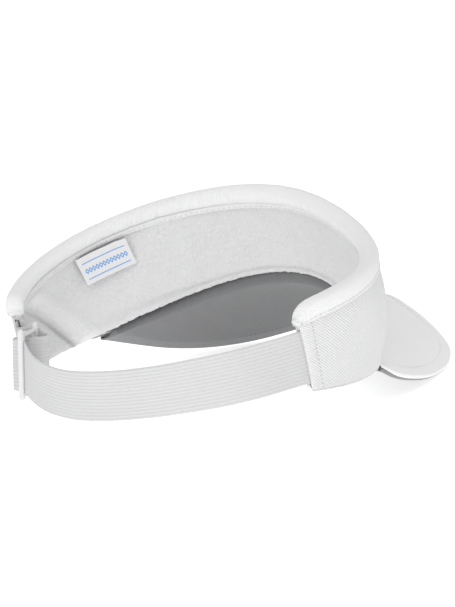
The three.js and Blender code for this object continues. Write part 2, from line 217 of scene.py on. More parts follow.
def solid(name, front, back, uv):
    """A closed sheet: front and back grids of points, walled along all four sides."""
    nu, nk = front.shape[:2]
    points = np.concatenate([front.reshape(-1, 3), back.reshape(-1, 3)])
    uv = np.tile(uv.reshape(-1, 2), (2, 1))
    half = nu * nk
    faces = []
    for i in range(nu - 1):
        for j in range(nk - 1):
            a, b, c, d = i * nk + j, (i + 1) * nk + j, (i + 1) * nk + j + 1, i * nk + j + 1
            faces.append((a, b, c, d))
            faces.append((half + d, half + c, half + b, half + a))
    for i in range(nu - 1):
        a, b = i * nk, (i + 1) * nk
        faces.append((half + a, half + b, b, a))
        faces.append((a + nk - 1, b + nk - 1, half + b + nk - 1, half + a + nk - 1))
    for j in range(nk - 1):
        faces.append((j, j + 1, half + j + 1, half + j))
        a = (nu - 1) * nk + j
        faces.append((half + a, half + a + 1, a + 1, a))
    return raw_mesh(name, points, outward(points, faces), uv)


def rod_faces(base, rings, sections):
    """The faces of a rod made of rings of points, closed at both ends. Its first point's number is base."""
    faces = []
    for i in range(rings - 1):
        for j in range(sections):
            a, b = base + i * sections + j, base + i * sections + (j + 1) % sections
            faces.append((a, b, b + sections, a + sections))
    faces.append(tuple(base + j for j in reversed(range(sections))))
    faces.append(tuple(base + (rings - 1) * sections + j for j in range(sections)))
    return faces


def arc_length(points):
    """How far along the path each of its points is."""
    return np.concatenate([[0], np.cumsum(np.linalg.norm(np.diff(points, axis=0), axis=1))])


def unit(v):
    return v / np.maximum(np.linalg.norm(v, axis=-1, keepdims=True), 1e-12)


def lerp(a, b, t):
    return a + (b - a) * t


def smoothstep(x, low, high):
    t = np.clip((x - low) / (high - low), 0, 1)
    return t * t * (3 - 2 * t)


def resample(path, n):
    """n points evenly spaced along a path, which is first rounded by a Catmull-Rom curve."""
    fine = curve(path, 12)
    along = arc_length(fine)
    at = np.linspace(0, along[-1], n)
    return np.stack([np.interp(at, along, fine[:, k]) for k in range(fine.shape[1])], axis=1)


def curve(points, steps):
    """A centripetal Catmull-Rom curve through the points, with this many steps between each two."""
    p = np.asarray(points, float)
    p = np.concatenate([[2 * p[0] - p[1]], p, [2 * p[-1] - p[-2]]])
    out = []
    for i in range(1, len(p) - 2):
        p0, p1, p2, p3 = p[i - 1:i + 3]
        d = [max(np.linalg.norm(b - a), 1e-6) ** 0.5 for a, b in ((p0, p1), (p1, p2), (p2, p3))]
        m1 = (p1 - p0) / d[0] - (p2 - p0) / (d[0] + d[1]) + (p2 - p1) / d[1]
        m2 = (p2 - p1) / d[1] - (p3 - p1) / (d[1] + d[2]) + (p3 - p2) / d[2]
        m1, m2 = m1 * d[1], m2 * d[1]
        for j in range(steps):
            t = j / steps
            out.append(p1 * (2 * t ** 3 - 3 * t * t + 1) + m1 * (t ** 3 - 2 * t * t + t)
                       + p2 * (3 * t * t - 2 * t ** 3) + m2 * (t ** 3 - t * t))
    out.append(p[-2])
    return np.array(out)


def fuzz(points, scale, seed):
    """Smooth noise from -1 to 1 at each point."""
    flat = points.reshape(-1, 3) * scale + seed
    return np.array([noise.noise(Vector(q)) for q in flat]).reshape(points.shape[:-1])


# ---- the crown band's surface
CENTRE = (-4.3, -1.6)
END_TOP = (-35.6, 217.5)
END_BOTTOM = (-28.7, 210.6)
LENGTH = 358.0
HEIGHT = 54.0
END_HEIGHT = 38.0
END_CORNER = 7.0


def plan_radius(a):
    """From CENTRE out to the band's lower edge, at this angle from the wearer's right."""
    return (83.3 - 8.9 * np.sin(a) + 1.8 * np.cos(2 * a) - 4.3 * np.sin(3 * a)
            + 1.7 * np.cos(a) - 1.1 * np.sin(2 * a))


def plan_point(a, out, z):
    """A point this far out from the plan. Towards the back it tilts up to the wearer's right."""
    r = plan_radius(a) + out
    x, y = CENTRE[0] + r * np.cos(a), CENTRE[1] + r * np.sin(a)
    return np.stack([x, y, z + 4.7 * np.clip((30 - y) / 80, 0, 1) * x / 70], axis=-1)


def band_base(a, k):
    """The band's surface at this angle, from its lower edge (k = 0) to its top (k = 1)."""
    a, k = np.broadcast_arrays(np.asarray(a, float), np.asarray(k, float))
    s = np.sin(a)
    low = plan_point(a, 0, 20.4 + 10 * s + 11.4 * s * s + 7.4 * s ** 3)
    inset = 4.9 + 17.1 * s - 4.4 * np.cos(2 * a)
    high = plan_point(a, -inset, 73.7 + 29.2 * s - 5.2 * s * s - 1.6 * s ** 3)
    swell = 4.9 * 4 * k * (1 - k) * smoothstep(s, -0.42, 0.1)
    swell_way = np.stack([np.cos(a), np.sin(a), 0 * a], axis=-1)
    return lerp(low, high, k[..., None]) + swell_way * swell[..., None]


def band_normal(a, k):
    """The way out of the band's surface."""
    step = 0.01
    along = band_base(a + step, k) - band_base(a - step, k)
    up = band_base(a, k + step) - band_base(a, k - step)
    return unit(np.cross(along, up))


def band_angle(u, k):
    """The angle at a share u of the band's length, from its right end to its left end, which both slant."""
    return np.radians(lerp(lerp(END_BOTTOM[0], END_TOP[0], k), lerp(END_BOTTOM[1], END_TOP[1], k), u))


def band_point(u, k, n):
    """A point n millimetres out from the band's surface."""
    u, k = np.broadcast_arrays(np.asarray(u, float), np.asarray(k, float))
    a = band_angle(u, k)
    return band_base(a, k) + band_normal(a, k) * np.asarray(n)[..., None]


def band_height(u):
    """The band's straight height at each of these places, in millimetres."""
    return np.linalg.norm(band_point(u, 1, 0 * u) - band_point(u, 0, 0 * u), axis=1)


def corner_drop(u):
    """How far the rounded corners drop the panel's top edge."""
    inside = np.clip(END_CORNER - np.minimum(u, 1 - u) * LENGTH, 0, END_CORNER)
    return END_CORNER - np.sqrt(END_CORNER ** 2 - inside ** 2)


def top_edge(u):
    """The highest k of the panel, which is less than 1 only at the two rounded corners."""
    return 1 - corner_drop(u) / END_HEIGHT


def along_band(n):
    """Places along the band, closer together at its rounded ends."""
    corner = END_CORNER / LENGTH
    ends = corner * (1 - np.cos(np.linspace(0, math.pi / 2, 12)))
    return np.concatenate([ends[:-1], np.linspace(corner, 1 - corner, n), (1 - ends[:-1])[::-1]])


# ---- materials
def mix_colour(tree, factor, a, b):
    return node(tree, "Mix", {"Factor": factor, "A": a, "B": b}, data_type="RGBA").outputs["Result"]


def weave_colour(tree, base, spread, factor, lift=1.0):
    """A colour that runs from a little darker to a little lighter than its base with the factor."""
    low = tuple(c * (1 - spread) * lift for c in base) + (1,)
    high = tuple(min(1, c * (1 + spread)) * lift for c in base) + (1,)
    return mix_colour(tree, factor, low, high)


def paint(tree, shader, colour):
    tree.links.new(colour, shader.inputs["Base Color"])


def bump(tree, shader, height, distance):
    relief = node(tree, "Bump", {"Height": height, "Distance": distance, "Strength": 1.0})
    tree.links.new(relief.outputs[0], shader.inputs["Normal"])


def wave(tree, value, pitch):
    """A smooth ripple from 0 to 1, one per pitch."""
    s = math_node(tree, "SINE", times(tree, value, 2 * math.pi / pitch))
    return math_node(tree, "MULTIPLY_ADD", s, 0.5, 0.5)


def cloud(tree, vector, scale, detail=3.0):
    """Noise from 0 to 1."""
    return node(tree, "TexNoise", {"Vector": vector, "Scale": scale, "Detail": detail}).outputs[0]


def needle_hole_shade(tree, beside, along, at, width=0.42, pitch=2.4):
    """1 on the small dips that a row of stitches leaves in the cloth, where shade is painted, 0 elsewhere."""
    open_share = 0.42
    return times(tree, below(tree, gap(tree, beside, at), width),
                 below(tree, wave(tree, along, pitch), open_share))


def shade(tree, shader, amount, by, towards=(0.12, 0.12, 0.12, 1)):
    """Mix the base colour by this share towards another, dark unless named, where the amount is 1."""
    source = shader.inputs["Base Color"].links[0].from_socket
    paint(tree, shader, mix_colour(tree, times(tree, amount, by), source, towards))


def twill_material(name, base, pitch=0.95, depth=0.00012, spread=0.05, band=None, hem=None):
    """Diagonal twill: ribs at a slant crossed by finer threads, slightly uneven. A band, which is a
    width and a lift, paints it lighter along one edge, as painted light. A hem is how far its
    stitches are from the ends; with it come painted shade in their needle holes and along the foot."""
    m, tree, shader = new_material(name, 0.92, Sheen_Weight=0.25, Sheen_Roughness=0.5)
    uv, x, y = uv_axes(tree)
    wobble = times(tree, cloud(tree, uv, 0.6), 0.35)
    slant = math_node(tree, "MULTIPLY_ADD", x, 1.22, times(tree, y, 0.85))
    ribs = wave(tree, plus(tree, slant, wobble), pitch * 1.414)
    threads = wave(tree, math_node(tree, "SUBTRACT", x, y), pitch * 0.75)
    fibre = cloud(tree, uv, 6.0, 4.0)
    height = plus(tree, math_node(tree, "MULTIPLY_ADD", threads, 0.12, ribs), times(tree, fibre, 0.5))
    blotch = cloud(tree, uv, 0.06, 2.0)
    factor = plus(tree, times(tree, ribs, 0.55), times(tree, plus(tree, blotch, fibre), 0.3))
    colour = weave_colour(tree, base, spread, factor)
    # Painted light: the cloth is drawn lighter along one edge, out to the band's width.
    if band:
        width, lift = band
        light = weave_colour(tree, base, spread, factor, lift)
        colour = mix_colour(tree, below(tree, y, width), colour, light)
    paint(tree, shader, colour)
    if hem:
        foot_shade_height = 0.9
        from_end = math_node(tree, "PINGPONG", x, LENGTH / 2)
        # Painted shade in the needle holes of the rows at the ends.
        shade(tree, shader, needle_hole_shade(tree, from_end, y, hem), 0.26)
        # Painted shade along the lowest 0.9 mm, where the cloth turns under.
        shade(tree, shader, below(tree, y, foot_shade_height), 0.22)
    bump(tree, shader, height, depth)
    return m


def towelling_material():
    """Brushed towelling: a soft pile with small clumps and no visible threads."""
    m, tree, shader = new_material("towelling", 1.0, Sheen_Weight=0.5, Sheen_Roughness=0.6)
    uv, x, y = uv_axes(tree)
    clump = cloud(tree, uv, 0.55, 5.0)
    pile = cloud(tree, uv, 3.2, 5.0)
    soft = cloud(tree, uv, 0.09, 3.0)
    factor = plus(tree, times(tree, clump, 0.5), times(tree, plus(tree, soft, pile), 0.32))
    paint(tree, shader, weave_colour(tree, (0.845, 0.845, 0.85), 0.10, factor))
    # Past the slack fold at the left end the colour is a little darker: partly the cloth's own tone there,
    # partly painted shade.
    across_fold = math_node(tree, "SUBTRACT", x, times(tree, y, FOLD_SLANT))
    shade(tree, shader, ramp(tree, across_fold, FOLD_FOOT + 1, FOLD_FOOT + 3), 0.12)

    def beside_fold(at, width):
        away = gap(tree, across_fold, FOLD_FOOT + at)
        return ramp(tree, away, width, 0.0, interpolation_type="SMOOTHSTEP")

    # The fold's swell gets a painted highlight, and the crease next to it painted shade, the more so lower
    # down.
    shade(tree, shader, beside_fold(-7.5, 10.0), 0.85, (0.99, 0.99, 0.99, 1))
    crease = times(tree, beside_fold(2.4, 3.0), ramp(tree, y, 42.0, 14.0))
    shade(tree, shader, crease, 0.50)
    bump(tree, shader, math_node(tree, "MULTIPLY_ADD", clump, 2.2, pile), 0.0006)
    return m


def ribbed_material(name, base, pitch, depth, across=False, spread=0.05, gloss=0.85, groove=None, rows=()):
    """Woven tape with fine ribs, which run across it or along it, and a fine crossing weave. Painted
    shade lies along a groove and in rows of needle holes, at distances across it."""
    m, tree, shader = new_material(name, gloss, Sheen_Weight=0.2, Sheen_Roughness=0.4)
    uv, x, y = uv_axes(tree)
    ribs = wave(tree, x if across else y, pitch)
    weft = wave(tree, y if across else x, pitch * 0.55)
    fibre = cloud(tree, uv, 5.0, 3.0)
    height = plus(tree, math_node(tree, "MULTIPLY_ADD", weft, 0.3, ribs), times(tree, fibre, 0.35))
    soft = cloud(tree, uv, 0.12, 2.0)
    factor = plus(tree, times(tree, ribs, 0.6), times(tree, plus(tree, soft, fibre), 0.25))
    paint(tree, shader, weave_colour(tree, base, spread, factor))
    if groove:
        half_groove = 0.38
        # Painted shade in the groove.
        shade(tree, shader, below(tree, gap(tree, y, groove), half_groove), 0.26)
    for row in rows:
        # Painted shade in the needle holes of each row.
        shade(tree, shader, needle_hole_shade(tree, y, x, row, width=0.36, pitch=STITCH_PITCH), 0.24)
    bump(tree, shader, height, depth)
    return m


def thread_material(name, base):
    """Twisted sewing thread: slanting strands with a slight lustre."""
    m, tree, shader = new_material(name, 0.55, Sheen_Weight=0.2)
    _, x, y = uv_axes(tree)
    strand = wave(tree, plus(tree, y, x), 0.45)
    paint(tree, shader, weave_colour(tree, base, 0.06, strand))
    bump(tree, shader, strand, 0.00008)
    return m


def plastic_material():
    """White moulded acetal: satin, with a faint flow in the surface and a little translucence."""
    m, tree, shader = new_material("white_plastic", 0.28, Coat_Weight=0.15, Coat_Roughness=0.2,
                                   Subsurface_Weight=0.12, Subsurface_Scale=0.0015)
    place = node(tree, "TexCoord").outputs["Object"]
    flow = cloud(tree, place, 260.0, 2.0)
    grain = cloud(tree, place, 2600.0, 2.0)
    paint(tree, shader, weave_colour(tree, (0.70, 0.705, 0.71), 0.02, flow))
    bump(tree, shader, math_node(tree, "MULTIPLY_ADD", grain, 0.4, flow), 0.00004)
    return m


def core_material(name, base, scale, depth):
    """A hidden layer: felted, foamed or moulded, by the size of its grain."""
    m, tree, shader = new_material(name, 0.85)
    place = node(tree, "TexCoord").outputs["Object"]
    grain = cloud(tree, place, scale, 4.0)
    paint(tree, shader, weave_colour(tree, base, 0.05, grain))
    bump(tree, shader, grain, depth)
    return m


def label_material():
    """White woven tag with a plain blue figure: a row of small lozenges between two border lines."""
    m, tree, shader = new_material("label", 0.6, Sheen_Weight=0.3)
    _, x, y = uv_axes(tree)
    middle, half_length, line_at, half_line = 7.3, 12.0, 4.6, 0.28
    thread = times(tree, wave(tree, x, 0.5), wave(tree, y, 0.4))
    off_middle = gap(tree, y, middle)
    half_step = gap(tree, math_node(tree, "PINGPONG", x, 2.0), 1.0)
    lozenge = plus(tree, times(tree, half_step, 1.6), off_middle)
    outlined = times(tree, below(tree, lozenge, 1.75), math_node(tree, "GREATER_THAN", lozenge, 0.75))
    inside = below(tree, gap(tree, x, TAG_WIDTH / 2), half_length)
    lines = below(tree, gap(tree, off_middle, line_at), half_line)
    ink = math_node(tree, "MAXIMUM", times(tree, outlined, inside), times(tree, lines, inside))
    white = mix_colour(tree, thread, (0.78, 0.78, 0.79, 1), (0.86, 0.86, 0.87, 1))
    blue = mix_colour(tree, thread, (0.12, 0.34, 0.75, 1), (0.22, 0.48, 0.88, 1))
    paint(tree, shader, mix_colour(tree, ink, white, blue))
    bump(tree, shader, math_node(tree, "MULTIPLY_ADD", ink, 0.8, thread), 0.00008)
    return m


twill = twill_material("white_twill", (0.745, 0.745, 0.75), pitch=1.2, depth=0.00022, spread=0.085,
                       hem=4.6)
brim_twill = twill_material("brim_twill", (0.91, 0.91, 0.91), spread=0.03, depth=0.00007)
# The grey underside is painted lighter near its free edge, out to the stitch row: painted light.
under_twill = twill_material("grey_twill", (0.176, 0.178, 0.182), spread=0.06, depth=0.00008,
                             band=(BRIM_STITCH_IN, 1.22))
elastic = ribbed_material("elastic", (0.585, 0.585, 0.59), STRAP_WIDTH / STRAP_RIBS, 0.00010, spread=0.06,
                          gloss=0.7)
towelling = towelling_material()
thread_white = thread_material("sewing_thread", (0.80, 0.80, 0.80))
thread_grey = thread_material("sewing_thread_grey", (0.33, 0.33, 0.34))
plastic = plastic_material()
label_cloth = label_material()
for cad_node, core in (("crown_interlining", core_material("interlining", (0.8, 0.8, 0.8), 900.0, 0.00005)),
                       ("sweatband_padding", core_material("foam", (0.78, 0.78, 0.74), 1500.0, 0.0001)),
                       ("brim_board", core_material("board", (0.8, 0.8, 0.8), 60.0, 0.00003))):
    for material_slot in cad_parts[cad_node].material_slots:
        material_slot.material = core


def over_brim(u):
    """1 where the brim hangs from the band, falling to 0 just past its corners."""
    degrees = lerp(END_BOTTOM[0], END_BOTTOM[1], u)
    return smoothstep(degrees, 1, 9) * smoothstep(179 - degrees, 0, 8)


# ---- crown shell
def crown_shell():
    """The outer panel: a hem at each end and along its foot, puckers and a faint ripple."""
    end_hem, foot_hem, turn = 5.2, 2.4, 0.8
    uu, kk = np.meshgrid(along_band(260), np.linspace(0, 1, 34), indexing="ij")
    kk = kk * top_edge(uu)
    x, y = uu * LENGTH, kk * HEIGHT
    # Shallow upright puckers where the band turns the corner towards the brim, outwards only.
    place = np.exp(-((uu - 0.17) / 0.045) ** 2) + np.exp(-((uu - 0.84) / 0.05) ** 2)
    tall = 0.35 + 0.65 * np.sin(math.pi * kk) ** 2
    pucker = place * 0.32 * (1 + np.sin(x * 0.95 + 1.4 * np.sin(y * 0.09))) * tall
    ripple = 0.12 * (1 + np.sin(x * 0.11 + y * 0.05) * np.sin(x * 0.07 - y * 0.13 + 1))
    out = 0.55 + pucker + ripple
    from_end = np.minimum(x, LENGTH - x)
    hem = smoothstep(end_hem - from_end, 0, 0.5) * 0.14 + smoothstep(foot_hem - y, 0, 0.4) * 0.08
    rounding = 0.3 * np.exp(-(y / turn) ** 2) + 0.35 * np.exp(-(from_end / 0.55) ** 2)
    front = band_point(uu, kk, out + hem - rounding)
    back = band_point(uu, kk, 0.02 - 0.75 * smoothstep(5.5 - from_end, 0, 1.5))
    # Above the brim the shell reaches down to the cover of the board.
    reach = 1.7 * over_brim(uu) * (1 - smoothstep(y, 0, 5))
    for side in (front, back):
        side[..., 2] -= reach
    uv = np.stack([x, y], axis=-1)
    obj = finish_piece(solid("crown_twill", front, back, uv), "visor", ["crown_shell"], twill)


crown_shell()


# ---- sweatband
def lining_swell(x, y, from_end):
    """How far the relaxed lining stands off its foam, towards the head."""
    soft = 0.45 * np.sin(x * 0.09 + 0.8) * np.sin(y * 0.11) + 0.3 * np.sin(x * 0.21 + y * 0.07)
    right_place = np.exp(-((x - 96 - (y - 20) * 0.8) / 4.0) ** 2)
    right_crease = right_place * smoothstep(y, 4, 10) * smoothstep(34 - y, 0, 10)
    swell = smoothstep(y, 1.0, 6.0) * smoothstep(from_end, 0, 9) * (soft * 0.6 + 0.5 * right_crease)
    # The slack fold near the left end, which falls off steeply to the crease beside it.
    line = x - FOLD_FOOT - y * FOLD_SLANT
    height = smoothstep(y, -2, 3) * smoothstep(47 - y, 0, 9) * (1 + 0.12 * np.sin(y * 0.4))
    fold = np.exp(-(np.where(line < 0, line / 13.0, line / 1.1)) ** 2) * height
    return swell + 3.4 * fold * smoothstep(y, -1.2, 1.5) * smoothstep(from_end, 0, 6)


def lining_rows(uu, path, faces_head):
    """One side of the lining, from its section: a path of (way out from the band, height)."""
    lining_top, under_binding, on_shell, past_strap = 46, 7.6, -0.85, -2.42
    u = uu[:, 0]
    y = np.broadcast_to(path[None, :, 1], uu.shape)
    x = uu * LENGTH
    k = y / lining_top * (1 - under_binding / band_height(u)[:, None])
    n = np.broadcast_to(path[None, :, 0], uu.shape).copy()
    from_end = np.minimum(x, LENGTH - x)
    # Over the brim its foot draws inwards and rises, to end as a soft roll above the brim's inner end.
    foot = over_brim(u)[:, None] * (1 - smoothstep(y, 0.5, 8))
    n = lerp(n, -3.95 - 0.42 * np.abs(n), foot)
    if faces_head:
        n -= lining_swell(x, y, from_end)
    else:
        # At the ends the lining closes on the shell above and below the strap.
        clear = np.maximum(smoothstep(k, 0.722, 0.74), 1 - smoothstep(k, 0.012, 0.045))
        n = lerp(n, on_shell, clear * smoothstep(2.6 - from_end, 0, 1.2))
        strap_here = (1 - clear) * smoothstep(5.0 - from_end, 0, 1.5)
        n = lerp(n, np.minimum(n, past_strap), strap_here)
    p = band_point(uu, k, n)
    degrees = lerp(END_BOTTOM[0], END_BOTTOM[1], u)[:, None]
    mid_zone = smoothstep(degrees, 5, 40) * smoothstep(175 - degrees, 0, 35)
    p[..., 2] += (0.9 + 2.1 * mid_zone) * foot
    return p, np.stack([x, y], axis=-1)


def sweatband():
    """The towelling lining over its foam: it fills out between the binding and the lower edge, and
    rolls under there to meet the shell."""
    rows, fold_from, fold_to = 60, 312, 352
    u = np.unique(np.concatenate([along_band(330), np.linspace(fold_from, fold_to, 120) / LENGTH]))
    facing = resample([(-0.12, 0.6), (-0.2, -0.5), (-1.6, -1.1), (-3.4, -0.5), (-4.5, 1.4), (-4.9, 6),
                       (-5.0, 20), (-4.9, 34), (-4.5, 41), (-4.25, 46)], rows)
    behind = resample([(-0.12, 1.0), (-0.2, 2.1), (-1.2, 2.5), (-2.5, 2.6), (-2.75, 4), (-2.78, 12),
                       (-2.78, 26), (-2.78, 38), (-2.9, 43), (-3.1, 46)], rows)
    uu = np.repeat(u[:, None], rows, axis=1)
    front, uv = lining_rows(uu, facing, True)
    back, _ = lining_rows(uu, behind, False)
    # The pile's clumps, in the mesh itself, and its ragged lower edge.
    inward = -band_normal(band_angle(uu, 0.4), 0.4)
    lump = 0.20 * fuzz(front, 0.55, 3.1) + 0.13 * fuzz(front, 1.6, 9.7)
    low = np.exp(-(facing[None, :, 1] / 3.0) ** 2)
    front = front + inward * (lump * (1 + 0.8 * low))[..., None]
    front[..., 2] += (0.5 * fuzz(front, 1.3, 5.5) + 0.35 * fuzz(front, 3.1, 2.5)) * low
    obj = finish_piece(solid("sweatband", front, back, uv), "visor", ["sweatband_lining"],
                       towelling, smooth=75)


sweatband()


# ---- binding
def binding_frame():
    """Places along the binding, which starts and ends 1 mm past the panel, with the way down from the
    straight top edge there and how far the rounded corners drop it."""
    beyond = np.array([-1.0, -0.94, -0.8, -0.6, -0.4, -0.3, -0.2, -0.1]) / LENGTH
    u = np.concatenate([beyond, along_band(400), 1 - beyond[::-1]])
    down = unit(band_point(u, 0.9, 0 * u) - band_point(u, 1, 0 * u))
    return u, down, corner_drop(u)


def surface_rows(u, d, n):
    """Points d below the band's straight top edge, on its curved surface, and n out from it."""
    k = 1 - np.maximum(d, 0) / band_height(u)[:, None]
    uu = np.repeat(u[:, None], d.shape[1], axis=1)
    return band_point(uu, k, n)


BOUND_U, BOUND_DOWN, BOUND_DROP = binding_frame()
# The way out from the band to the middle of the binding, which parts its outer leg from its inner one.
BOUND_MIDDLE = -1.9
BOUND_FOOT_OUT = 7.6
BOUND_FOOT_IN = 8.8
STITCH_DOWN_OUT = 6.2
STITCH_DOWN_IN = 7.1


def binding_surface(section):
    """The binding's section, swept along the top edge. Its two lower edges run straight to the ends,
    while the roll between them follows the rounded corners."""
    d, n = section[..., 1], section[..., 0]
    foot = np.where(n > BOUND_MIDDLE, BOUND_FOOT_OUT, BOUND_FOOT_IN)
    share = np.clip(1 - d / foot, 0, None)
    d = d + BOUND_DROP[:, None] * np.clip(share, 0, 1)
    above = np.minimum(d - BOUND_DROP[:, None], 0)
    p = surface_rows(BOUND_U, np.where(above < 0, BOUND_DROP[:, None], d), n)
    return p + BOUND_DOWN[:, None, :] * above[..., None]


def gathered(section, along):
    """The section all along the tape, with its unevenness: gathers in the roll and a pucker."""
    inner_leg = -4
    gather = (0.10 * np.sin(along * 0.83) + 0.14 * np.sin(along * 0.29 + 2) + 0.08 * np.sin(along * 2.1)
              + 0.06 * np.sin(along * 3.3 + 1))
    section = np.tile(section[None], (len(along), 1, 1))
    puff = np.exp(-((section[..., 1] - 2.4) / 2.6) ** 2) * np.sign(section[..., 0])
    section[..., 0] += puff * gather[:, None] * 0.9
    strip = np.exp(-((section[..., 1] - 7.2) / 1.3) ** 2) * (section[..., 0] < inner_leg)
    section[..., 0] += strip * 0.12 * np.sin(along * 2.3)[:, None]
    section[..., 1] += strip * 0.10 * np.sin(along * 2.3 + 1)[:, None]
    # A pucker in the left half, where the tape has been eased round.
    pucker = np.exp(-((along - 262) / 2.2) ** 2)
    section[..., 0] += pucker[:, None] * 0.5 * (section[..., 0] < inner_leg) * (section[..., 1] < 5)
    return section


def binding():
    """The folded tape: a fat roll over the top edge, then inside a groove and a flat stitched strip."""
    # Both sides of the section are (way out from the band, way down from the edge).
    outer = resample([(0.95, 7.6), (1.25, 7.8), (1.7, 7.45), (1.62, 6.7), (1.45, 6.2), (1.75, 5.6),
                      (2.25, 4.2), (2.4, 2.6), (2.2, 1.1), (1.6, -0.2), (0.5, -0.95), (-1.2, -1.3),
                      (-3.0, -1.25), (-4.7, -0.6), (-5.85, 0.6), (-6.4, 2.0), (-6.5, 3.3), (-5.95, 4.5),
                      (-5.1, 5.05), (-4.75, 5.35), (-5.15, 5.75), (-5.6, 6.5), (-5.6, 7.8), (-5.3, 8.7),
                      (-4.85, 8.8)], 96)
    inner = resample([(0.9, 7.3), (0.85, 5), (0.85, 2.5), (0.8, 0.8), (0.5, 0.0), (-0.6, -0.3), (-2.2, -0.35),
                      (-3.7, -0.1), (-4.25, 0.5), (-4.4, 2), (-4.4, 5), (-4.6, 8.4)], 96)
    along = BOUND_U * LENGTH
    section = gathered(outer, along)
    lining_side = np.tile(inner[None], (len(along), 1, 1))
    # The tape is folded in at the two ends and closes them: there the section draws in round.
    from_end = np.minimum(along, LENGTH - along)
    draw = np.clip(-from_end, 0, 1)
    keep = (1 - 0.30 * draw ** 2.5 - 0.10 * (1 - smoothstep(from_end, -0.2, 1.8)))[:, None]
    section[..., 0] = BOUND_MIDDLE + (section[..., 0] - BOUND_MIDDLE) * keep
    shut = (0.02 + 0.98 * smoothstep(from_end, -0.4, -0.1))[:, None]
    lining_side[..., 0] = BOUND_MIDDLE + (lining_side[..., 0] - BOUND_MIDDLE) * shut * keep
    front = binding_surface(section)
    back = binding_surface(lining_side)
    arc = arc_length(outer)
    crest = 40
    ridge = arc_length(front[:, crest])
    uv = np.stack(np.broadcast_arrays(ridge[:, None], arc[None, :]), axis=-1)
    inside = outer[:, 0] < -4

    def across_at(d, where):
        i = np.flatnonzero(where)
        return float(arc[i[np.argmin(np.abs(outer[i, 1] - d))]])

    # Painted shade along the binding's groove and in its two rows of needle holes.
    tape = ribbed_material("binding_tape", (0.865, 0.865, 0.87), 0.95, 0.00018, across=True, spread=0.055,
                           groove=across_at(5.35, inside),
                           rows=(across_at(STITCH_DOWN_OUT, ~inside), across_at(STITCH_DOWN_IN, inside)))
    obj = finish_piece(solid("edge_binding", front, back, uv), "visor", ["top_binding"],
                       tape, smooth=60)


binding()


# ---- stitching
def dashes(name, points, normals, replaced, material):
    """A row of separate stitches: small rounded bars that dip at both ends."""
    length, radius, lift, flatness = 2.05, 0.2, 0.05, 0.8
    along = arc_length(points)
    count = int(along[-1] / STITCH_PITCH)
    ring = 6
    bars, faces, uv = [], [], []

    def at(d):
        p = np.array([np.interp(d, along, points[:, k]) for k in range(3)])
        n = np.array([np.interp(d, along, normals[:, k]) for k in range(3)])
        return p, unit(n)

    # (share of the length, share of the radius, rise)
    shape = [(0.0, 0.25, -0.30), (0.12, 0.8, -0.12), (0.35, 1.0, 0.0), (0.65, 1.0, 0.0), (0.88, 0.8, -0.12),
             (1.0, 0.25, -0.30)]
    for i in range(count):
        start = (i + 0.5) * along[-1] / count - length / 2
        base = len(bars)
        way = unit(at(start + length)[0] - at(start)[0])
        for t, size, dip in shape:
            p, n = at(start + t * length)
            side = unit(np.cross(way, n))
            for j in range(ring):
                angle = 2 * math.pi * j / ring
                bars.append(p + n * (lift + dip + radius * size * math.sin(angle) * flatness)
                            + side * radius * size * math.cos(angle))
                uv.append((t * length, j * 0.25))
        faces.extend(rod_faces(base, len(shape), ring))
    finish_piece(raw_mesh(name, bars, outward(bars, faces), uv), "visor", replaced, material)


def binding_row(d, n):
    """A row of stitches d below the edge, lying on the tape at n."""
    clear_of_ends = 12
    u = BOUND_U[clear_of_ends:-clear_of_ends]
    one = np.ones((len(u), 1))
    p = surface_rows(u, d * one, n * one)[:, 0]
    q = surface_rows(u, d * one, (n + 1.0) * one)[:, 0]
    return p, unit(q - p)


row_points, row_normals = binding_row(STITCH_DOWN_OUT, 1.50)
dashes("binding_stitch_outside", row_points, row_normals, ["binding_thread_outer"], thread_white)
row_points, row_normals = binding_row(STITCH_DOWN_IN, -5.66)
dashes("binding_stitch_inside", row_points, -row_normals, ["binding_thread_inner"], thread_white)


def end_row(u, name, cad_node):
    """The upright row that closes one end of the panel over the strap."""
    on_hem = 0.86
    k = np.linspace(0.025, 0.78, 60)
    p = band_point(u, k, on_hem)
    n = band_normal(band_angle(u, k), k)
    dashes(name, p, n, [cad_node], thread_white)


END_ROW = 4.2 / LENGTH
end_row(END_ROW, "right_end_stitch", "right_end_thread")
end_row(1 - END_ROW, "left_end_stitch", "left_end_thread")


# ---- brim
SEAM_ENDS = (11.0, 169.0)
BRIM_CENTRE = -2.5
BRIM_DROP = 2.1
# The depth that the covers' paths are drawn for; each place stretches them to its own.
BRIM_REACH = 80.0
COVER_OUT = 1.75
COVER_IN = 1.05
HALF_OUTLINE = [(79.5, 32, 13.8), (74, 65, 6), (67.5, 92, 2.5), (59.5, 118, 2.1), (49, 138, 5),
                (35, 150, 10.4), (18, 156, 18.4)]


def brim_corner(degrees):
    """Where the brim's free edge meets the band."""
    a = np.radians(degrees)
    return band_base(a, 0) + band_normal(a, np.array(0.0)) * 2.5 + np.array([0, 0, -BRIM_DROP])


def brim_edge():
    """The free edge, from the wearer's right round the front to the left."""
    right = [(BRIM_CENTRE + x, y, z) for x, y, z in HALF_OUTLINE]
    left = [(BRIM_CENTRE - x, y, z) for x, y, z in reversed(HALF_OUTLINE)]
    points = [brim_corner(SEAM_ENDS[0]), *right, (BRIM_CENTRE, 158, 24.5), *left, brim_corner(SEAM_ENDS[1])]
    return curve(points, 40)


BRIM_EDGE = brim_edge()
# About the free edge's length, which the covers' flat coordinates run over.
BRIM_EDGE_LENGTH = 330


